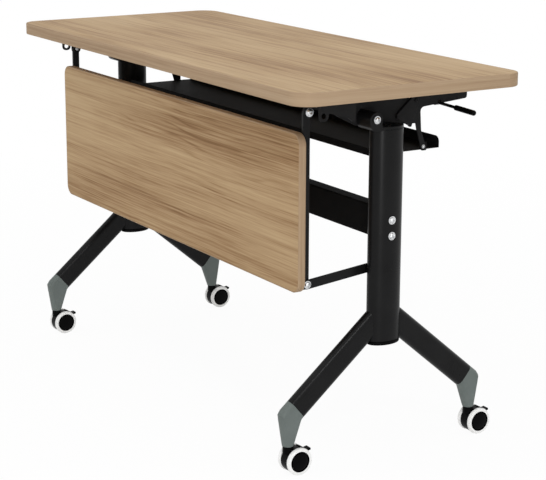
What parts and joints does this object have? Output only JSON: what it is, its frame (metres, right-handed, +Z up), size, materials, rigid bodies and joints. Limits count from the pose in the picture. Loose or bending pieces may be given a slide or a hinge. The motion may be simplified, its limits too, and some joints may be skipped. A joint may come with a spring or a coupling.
{
  "type": "flip top training table",
  "caption": "Mobile training table with a wood-look top that flips up on oval columns, a linked modesty panel, a book tray, a release lever and braked swivel casters.",
  "frame": {"origin": "on the floor, below the middle of the tabletop", "axes": "+X along the tabletop towards the release lever's end, +Y to the user's side, away from the modesty panel, +Z up"},
  "size_m": [1.2, 0.5, 0.73],
  "materials": {
    "wood": "satin oak-look melamine with straight grain along the length",
    "black_metal": "fine textured black powder coat",
    "grey_cast": "satin grey paint on cast feet",
    "zinc": "bright zinc plate",
    "black_plastic": "moulded black nylon",
    "white_tread": "white polyurethane tread"
  },
  "bodies": {
    "frame": {"column_right": "black_metal", "column_head_right": "black_metal", "column_end_cap_right": "black_plastic", "flip_pin_right": "zinc", "link_pin_right": "zinc", "column_left": "black_metal", "column_head_left": "black_metal", "column_end_cap_left": "black_plastic", "flip_pin_left": "zinc", "link_pin_left": "zinc", "crossbeam": "black_metal", "leg_front_right": "black_metal", "foot_front_right": "grey_cast", "leg_back_right": "black_metal", "foot_back_right": "grey_cast", "leg_front_left": "black_metal", "foot_front_left": "grey_cast", "leg_back_left": "black_metal", "foot_back_left": "grey_cast"},
    "top": {"tabletop": "wood", "book_tray": "black_metal", "cross_tube": "black_metal", "flip_bracket_right": "black_metal", "panel_pin_right": "zinc", "flip_bracket_left": "black_metal", "panel_pin_left": "zinc"},
    "panel": {"modesty_panel": "wood", "hanger_right": "black_metal", "hanger_left": "black_metal"},
    "lever": {"lever_rod": "black_metal", "lever_grip": "black_plastic"},
    "latch": {"latch_shaft": "black_metal", "latch_pawl_right": "black_metal", "latch_pawl_left": "black_metal"},
    "link_right": {"link_right": "black_metal"},
    "link_left": {"link_left": "black_metal"},
    "caster_front_right": {"caster_front_right_hood": "black_plastic"},
    "pedal_front_right": {"caster_front_right_brake_pedal": "black_plastic"},
    "wheel_front_right_outer": {"caster_front_right_wheel_core_outer": "black_plastic", "caster_front_right_tread_outer": "white_tread"},
    "wheel_front_right_inner": {"caster_front_right_wheel_core_inner": "black_plastic", "caster_front_right_tread_inner": "white_tread"},
    "caster_back_right": {"caster_back_right_hood": "black_plastic"},
    "pedal_back_right": {"caster_back_right_brake_pedal": "black_plastic"},
    "wheel_back_right_outer": {"caster_back_right_wheel_core_outer": "black_plastic", "caster_back_right_tread_outer": "white_tread"},
    "wheel_back_right_inner": {"caster_back_right_wheel_core_inner": "black_plastic", "caster_back_right_tread_inner": "white_tread"},
    "caster_front_left": {"caster_front_left_hood": "black_plastic"},
    "pedal_front_left": {"caster_front_left_brake_pedal": "black_plastic"},
    "wheel_front_left_outer": {"caster_front_left_wheel_core_outer": "black_plastic", "caster_front_left_tread_outer": "white_tread"},
    "wheel_front_left_inner": {"caster_front_left_wheel_core_inner": "black_plastic", "caster_front_left_tread_inner": "white_tread"},
    "caster_back_left": {"caster_back_left_hood": "black_plastic"},
    "pedal_back_left": {"caster_back_left_brake_pedal": "black_plastic"},
    "wheel_back_left_outer": {"caster_back_left_wheel_core_outer": "black_plastic", "caster_back_left_tread_outer": "white_tread"},
    "wheel_back_left_inner": {"caster_back_left_wheel_core_inner": "black_plastic", "caster_back_left_tread_inner": "white_tread"}
  },
  "joints": [
    {"name": "top_flip", "type": "hinge", "parent": "frame", "child": "top", "pos_m": [0, -0.047, 0.658], "axis": [1, 0, 0], "range_deg": [0, 90]},
    {"name": "panel_swing", "type": "hinge", "parent": "top", "child": "panel", "pos_m": [0, -0.1635, 0.6755], "axis": [1, 0, 0], "range_deg": [-90, 0]},
    {"name": "link_swing_right", "type": "hinge", "parent": "frame", "child": "link_right", "pos_m": [0.49, -0.008, 0.369], "axis": [1, 0, 0], "range_deg": [0, 70]},
    {"name": "link_swing_left", "type": "hinge", "parent": "frame", "child": "link_left", "pos_m": [-0.49, -0.008, 0.369], "axis": [1, 0, 0], "range_deg": [0, 70]},
    {"name": "release_lever", "type": "hinge", "parent": "top", "child": "lever", "pos_m": [0.4837, 0.13, 0.668], "axis": [0, -1, 0], "range_deg": [0, 12], "stiffness_Nm_per_rad": 0.4, "springref_deg": -8.59},
    {"name": "latch_turn", "type": "hinge", "parent": "top", "child": "latch", "pos_m": [0, 0.071, 0.679], "axis": [1, 0, 0], "range_deg": [0, 15]},
    {"name": "swivel_front_right", "type": "hinge", "parent": "frame", "child": "caster_front_right", "pos_m": [0.516, -0.219, 0.056], "axis": [0, 0, 1], "continuous": true},
    {"name": "brake_front_right", "type": "hinge", "parent": "caster_front_right", "child": "pedal_front_right", "pos_m": [0.516, -0.203, 0.0265], "axis": [1, 0, 0], "range_deg": [-8, 0]},
    {"name": "roll_front_right_outer", "type": "hinge", "parent": "caster_front_right", "child": "wheel_front_right_outer", "pos_m": [0.531, -0.203, 0.0265], "axis": [1, 0, 0], "continuous": true},
    {"name": "roll_front_right_inner", "type": "hinge", "parent": "caster_front_right", "child": "wheel_front_right_inner", "pos_m": [0.501, -0.203, 0.0265], "axis": [1, 0, 0], "continuous": true},
    {"name": "swivel_back_right", "type": "hinge", "parent": "frame", "child": "caster_back_right", "pos_m": [0.516, 0.203, 0.056], "axis": [0, 0, 1], "continuous": true},
    {"name": "brake_back_right", "type": "hinge", "parent": "caster_back_right", "child": "pedal_back_right", "pos_m": [0.516, 0.219, 0.0265], "axis": [1, 0, 0], "range_deg": [-8, 0]},
    {"name": "roll_back_right_outer", "type": "hinge", "parent": "caster_back_right", "child": "wheel_back_right_outer", "pos_m": [0.531, 0.219, 0.0265], "axis": [1, 0, 0], "continuous": true},
    {"name": "roll_back_right_inner", "type": "hinge", "parent": "caster_back_right", "child": "wheel_back_right_inner", "pos_m": [0.501, 0.219, 0.0265], "axis": [1, 0, 0], "continuous": true},
    {"name": "swivel_front_left", "type": "hinge", "parent": "frame", "child": "caster_front_left", "pos_m": [-0.516, -0.219, 0.056], "axis": [0, 0, 1], "continuous": true},
    {"name": "brake_front_left", "type": "hinge", "parent": "caster_front_left", "child": "pedal_front_left", "pos_m": [-0.516, -0.203, 0.0265], "axis": [1, 0, 0], "range_deg": [-8, 0]},
    {"name": "roll_front_left_outer", "type": "hinge", "parent": "caster_front_left", "child": "wheel_front_left_outer", "pos_m": [-0.501, -0.203, 0.0265], "axis": [1, 0, 0], "continuous": true},
    {"name": "roll_front_left_inner", "type": "hinge", "parent": "caster_front_left", "child": "wheel_front_left_inner", "pos_m": [-0.531, -0.203, 0.0265], "axis": [1, 0, 0], "continuous": true},
    {"name": "swivel_back_left", "type": "hinge", "parent": "frame", "child": "caster_back_left", "pos_m": [-0.516, 0.203, 0.056], "axis": [0, 0, 1], "continuous": true},
    {"name": "brake_back_left", "type": "hinge", "parent": "caster_back_left", "child": "pedal_back_left", "pos_m": [-0.516, 0.219, 0.0265], "axis": [1, 0, 0], "range_deg": [-8, 0]},
    {"name": "roll_back_left_outer", "type": "hinge", "parent": "caster_back_left", "child": "wheel_back_left_outer", "pos_m": [-0.501, 0.219, 0.0265], "axis": [1, 0, 0], "continuous": true},
    {"name": "roll_back_left_inner", "type": "hinge", "parent": "caster_back_left", "child": "wheel_back_left_inner", "pos_m": [-0.531, 0.219, 0.0265], "axis": [1, 0, 0], "continuous": true}
  ],
  "couplings": [
    {"joint": "panel_swing", "follows": "top_flip", "ratio": -0.97676},
    {"joint": "link_swing_right", "follows": "top_flip", "ratio": 0.74998},
    {"joint": "link_swing_left", "follows": "top_flip", "ratio": 0.74998},
    {"joint": "latch_turn", "follows": "release_lever", "ratio": 1.2}
  ]
}
